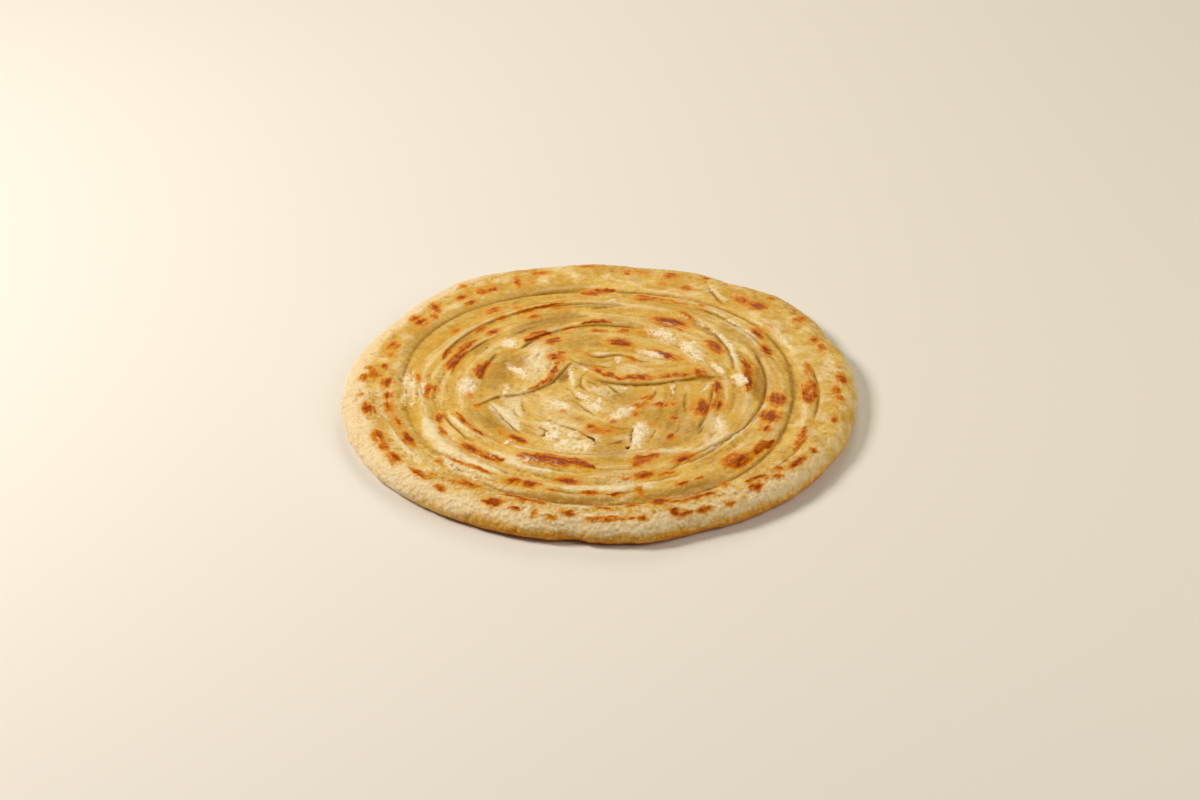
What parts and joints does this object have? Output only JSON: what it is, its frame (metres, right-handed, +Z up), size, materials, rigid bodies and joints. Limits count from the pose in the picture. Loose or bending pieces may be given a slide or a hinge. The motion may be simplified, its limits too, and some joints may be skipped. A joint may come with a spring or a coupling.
{
  "type": "paratha",
  "caption": "Round layered flatbread, coiled and pressed flat, with a rounded rim, overlapping ring folds and a folded heart.",
  "frame": {"origin": "middle of the flat base: the centre of the plan's box, on the face that the bread rests on", "axes": "+Z up through the thickness, -Y the front of the bread as pictured, +X its right"},
  "size_m": [0.19, 0.188, 0.0098],
  "materials": {
    "browned_dough": "griddled wheat dough, golden with orange-brown toast marks, a thin film of fat gives a soft sheen"
  },
  "bodies": {
    "root": {"paratha": "browned_dough"}
  },
  "joints": []
}
